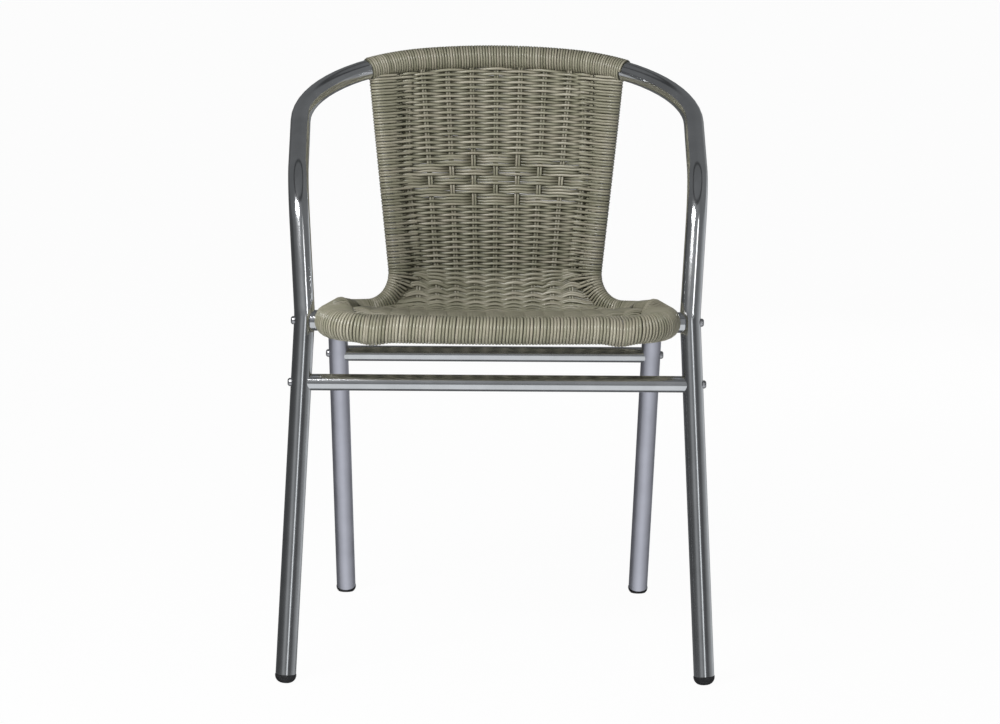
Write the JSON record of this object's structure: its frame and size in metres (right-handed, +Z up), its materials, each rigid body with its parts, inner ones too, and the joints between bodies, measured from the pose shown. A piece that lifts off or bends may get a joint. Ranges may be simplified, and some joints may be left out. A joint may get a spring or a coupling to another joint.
{
  "type": "woven bistro armchair",
  "caption": "Bistro armchair with a bent aluminium tube frame and a woven synthetic cane seat and back, the cane wound round the rims and the top rail.",
  "frame": {"origin": "on the floor, on the centre plane, midway between the chair's front and back", "axes": "+Z up, -Y the way the sitter faces, +X to the right of somebody looking at the front"},
  "size_m": [0.534, 0.5414, 0.7333],
  "materials": {
    "polished_tube": "polished",
    "satin_tube": "satin",
    "bolt": "dull",
    "insert": "matt",
    "foot": "satin",
    "cane": "satin"
  },
  "bodies": {
    "root": {"bow_tube": "polished_tube", "seat_tube": "satin_tube", "hoop_tube": "satin_tube", "seat_spacer_right": "satin_tube", "seat_spacer_left": "satin_tube", "front_stretcher": "polished_tube", "rear_stretcher": "satin_tube", "front_stretcher_insert_right": "insert", "front_stretcher_insert_left": "insert", "rear_stretcher_insert_right": "insert", "rear_stretcher_insert_left": "insert", "seat_nut_right": "bolt", "seat_nut_left": "bolt", "seat_bolt_right": "bolt", "seat_bolt_left": "bolt", "front_stretcher_bolt_right": "bolt", "front_stretcher_bolt_left": "bolt", "rear_stretcher_bolt_right": "bolt", "rear_stretcher_bolt_left": "bolt", "front_foot_right": "foot", "front_foot_left": "foot", "rear_foot_right": "foot", "rear_foot_left": "foot", "top_rail_winding": "cane", "back_rim_winding_right": "cane", "back_rim_winding_left": "cane", "seat_side_winding_right": "cane", "seat_side_winding_left": "cane", "front_roll_winding": "cane", "back_weave": "cane", "seat_weave": "cane"}
  },
  "joints": []
}
